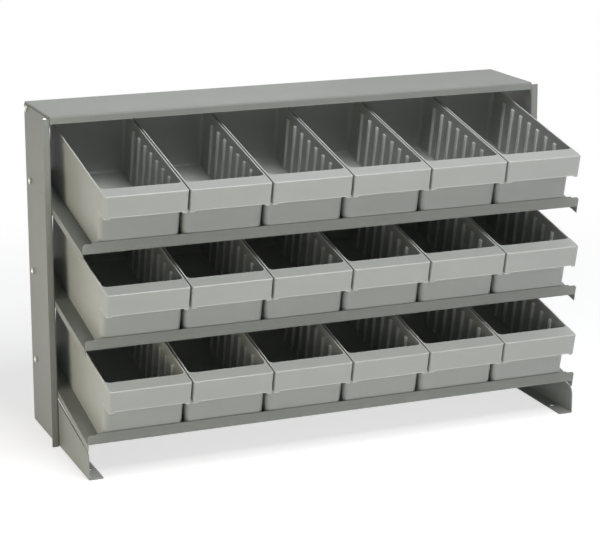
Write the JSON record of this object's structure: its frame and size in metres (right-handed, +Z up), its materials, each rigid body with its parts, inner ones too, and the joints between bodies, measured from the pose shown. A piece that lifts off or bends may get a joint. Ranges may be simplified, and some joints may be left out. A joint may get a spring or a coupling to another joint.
{
  "type": "bench rack with drawers",
  "caption": "Bench rack in folded sheet steel: sloped shelves with front lips carry rows of open-top plastic drawers, each tilted up by its handle.",
  "frame": {"origin": "middle of the footprint of the whole rack, on the bench", "axes": "+X along the rack, to the right as seen from the front; the drawers face -Y; +Z up"},
  "size_m": [0.9394, 0.4024, 0.5839],
  "materials": {
    "frame_paint": "satin grey enamel",
    "drawer_plastic": "fine-textured moulded grey plastic",
    "zinc": "bright zinc plate"
  },
  "bodies": {
    "frame": {"top_panel": "frame_paint", "left_upright": "frame_paint", "right_upright": "frame_paint", "bottom_shelf": "frame_paint", "middle_shelf": "frame_paint", "top_shelf": "frame_paint", "left_foot": "frame_paint", "right_foot": "frame_paint", "left_bolts": "zinc", "right_bolts": "zinc", "left_nuts": "zinc", "right_nuts": "zinc"},
    "bottom_drawer_1_body": {"bottom_drawer_1": "drawer_plastic"},
    "bottom_drawer_2_body": {"bottom_drawer_2": "drawer_plastic"},
    "bottom_drawer_3_body": {"bottom_drawer_3": "drawer_plastic"},
    "bottom_drawer_4_body": {"bottom_drawer_4": "drawer_plastic"},
    "bottom_drawer_5_body": {"bottom_drawer_5": "drawer_plastic"},
    "bottom_drawer_6_body": {"bottom_drawer_6": "drawer_plastic"},
    "middle_drawer_1_body": {"middle_drawer_1": "drawer_plastic"},
    "middle_drawer_2_body": {"middle_drawer_2": "drawer_plastic"},
    "middle_drawer_3_body": {"middle_drawer_3": "drawer_plastic"},
    "middle_drawer_4_body": {"middle_drawer_4": "drawer_plastic"},
    "middle_drawer_5_body": {"middle_drawer_5": "drawer_plastic"},
    "middle_drawer_6_body": {"middle_drawer_6": "drawer_plastic"},
    "top_drawer_1_body": {"top_drawer_1": "drawer_plastic"},
    "top_drawer_2_body": {"top_drawer_2": "drawer_plastic"},
    "top_drawer_3_body": {"top_drawer_3": "drawer_plastic"},
    "top_drawer_4_body": {"top_drawer_4": "drawer_plastic"},
    "top_drawer_5_body": {"top_drawer_5": "drawer_plastic"},
    "top_drawer_6_body": {"top_drawer_6": "drawer_plastic"}
  },
  "joints": [
    {"name": "bottom_drawer_1_tilt", "type": "hinge", "parent": "frame", "child": "bottom_drawer_1_body", "pos_m": [-0.3615, 0.15461, 0.12679], "axis": [-1, 0, 0], "range_deg": [0, 8]},
    {"name": "bottom_drawer_2_tilt", "type": "hinge", "parent": "frame", "child": "bottom_drawer_2_body", "pos_m": [-0.2169, 0.15461, 0.12679], "axis": [-1, 0, 0], "range_deg": [0, 8]},
    {"name": "bottom_drawer_3_tilt", "type": "hinge", "parent": "frame", "child": "bottom_drawer_3_body", "pos_m": [-0.0723, 0.15461, 0.12679], "axis": [-1, 0, 0], "range_deg": [0, 8]},
    {"name": "bottom_drawer_4_tilt", "type": "hinge", "parent": "frame", "child": "bottom_drawer_4_body", "pos_m": [0.0723, 0.15461, 0.12679], "axis": [-1, 0, 0], "range_deg": [0, 8]},
    {"name": "bottom_drawer_5_tilt", "type": "hinge", "parent": "frame", "child": "bottom_drawer_5_body", "pos_m": [0.2169, 0.15461, 0.12679], "axis": [-1, 0, 0], "range_deg": [0, 8]},
    {"name": "bottom_drawer_6_tilt", "type": "hinge", "parent": "frame", "child": "bottom_drawer_6_body", "pos_m": [0.3615, 0.15461, 0.12679], "axis": [-1, 0, 0], "range_deg": [0, 8]},
    {"name": "middle_drawer_1_tilt", "type": "hinge", "parent": "frame", "child": "middle_drawer_1_body", "pos_m": [-0.3615, 0.15461, 0.28975], "axis": [-1, 0, 0], "range_deg": [0, 8]},
    {"name": "middle_drawer_2_tilt", "type": "hinge", "parent": "frame", "child": "middle_drawer_2_body", "pos_m": [-0.2169, 0.15461, 0.28975], "axis": [-1, 0, 0], "range_deg": [0, 8]},
    {"name": "middle_drawer_3_tilt", "type": "hinge", "parent": "frame", "child": "middle_drawer_3_body", "pos_m": [-0.0723, 0.15461, 0.28975], "axis": [-1, 0, 0], "range_deg": [0, 8]},
    {"name": "middle_drawer_4_tilt", "type": "hinge", "parent": "frame", "child": "middle_drawer_4_body", "pos_m": [0.0723, 0.15461, 0.28975], "axis": [-1, 0, 0], "range_deg": [0, 8]},
    {"name": "middle_drawer_5_tilt", "type": "hinge", "parent": "frame", "child": "middle_drawer_5_body", "pos_m": [0.2169, 0.15461, 0.28975], "axis": [-1, 0, 0], "range_deg": [0, 8]},
    {"name": "middle_drawer_6_tilt", "type": "hinge", "parent": "frame", "child": "middle_drawer_6_body", "pos_m": [0.3615, 0.15461, 0.28975], "axis": [-1, 0, 0], "range_deg": [0, 8]},
    {"name": "top_drawer_1_tilt", "type": "hinge", "parent": "frame", "child": "top_drawer_1_body", "pos_m": [-0.3615, 0.15461, 0.45271], "axis": [-1, 0, 0], "range_deg": [0, 8]},
    {"name": "top_drawer_2_tilt", "type": "hinge", "parent": "frame", "child": "top_drawer_2_body", "pos_m": [-0.2169, 0.15461, 0.45271], "axis": [-1, 0, 0], "range_deg": [0, 8]},
    {"name": "top_drawer_3_tilt", "type": "hinge", "parent": "frame", "child": "top_drawer_3_body", "pos_m": [-0.0723, 0.15461, 0.45271], "axis": [-1, 0, 0], "range_deg": [0, 8]},
    {"name": "top_drawer_4_tilt", "type": "hinge", "parent": "frame", "child": "top_drawer_4_body", "pos_m": [0.0723, 0.15461, 0.45271], "axis": [-1, 0, 0], "range_deg": [0, 8]},
    {"name": "top_drawer_5_tilt", "type": "hinge", "parent": "frame", "child": "top_drawer_5_body", "pos_m": [0.2169, 0.15461, 0.45271], "axis": [-1, 0, 0], "range_deg": [0, 8]},
    {"name": "top_drawer_6_tilt", "type": "hinge", "parent": "frame", "child": "top_drawer_6_body", "pos_m": [0.3615, 0.15461, 0.45271], "axis": [-1, 0, 0], "range_deg": [0, 8]}
  ]
}
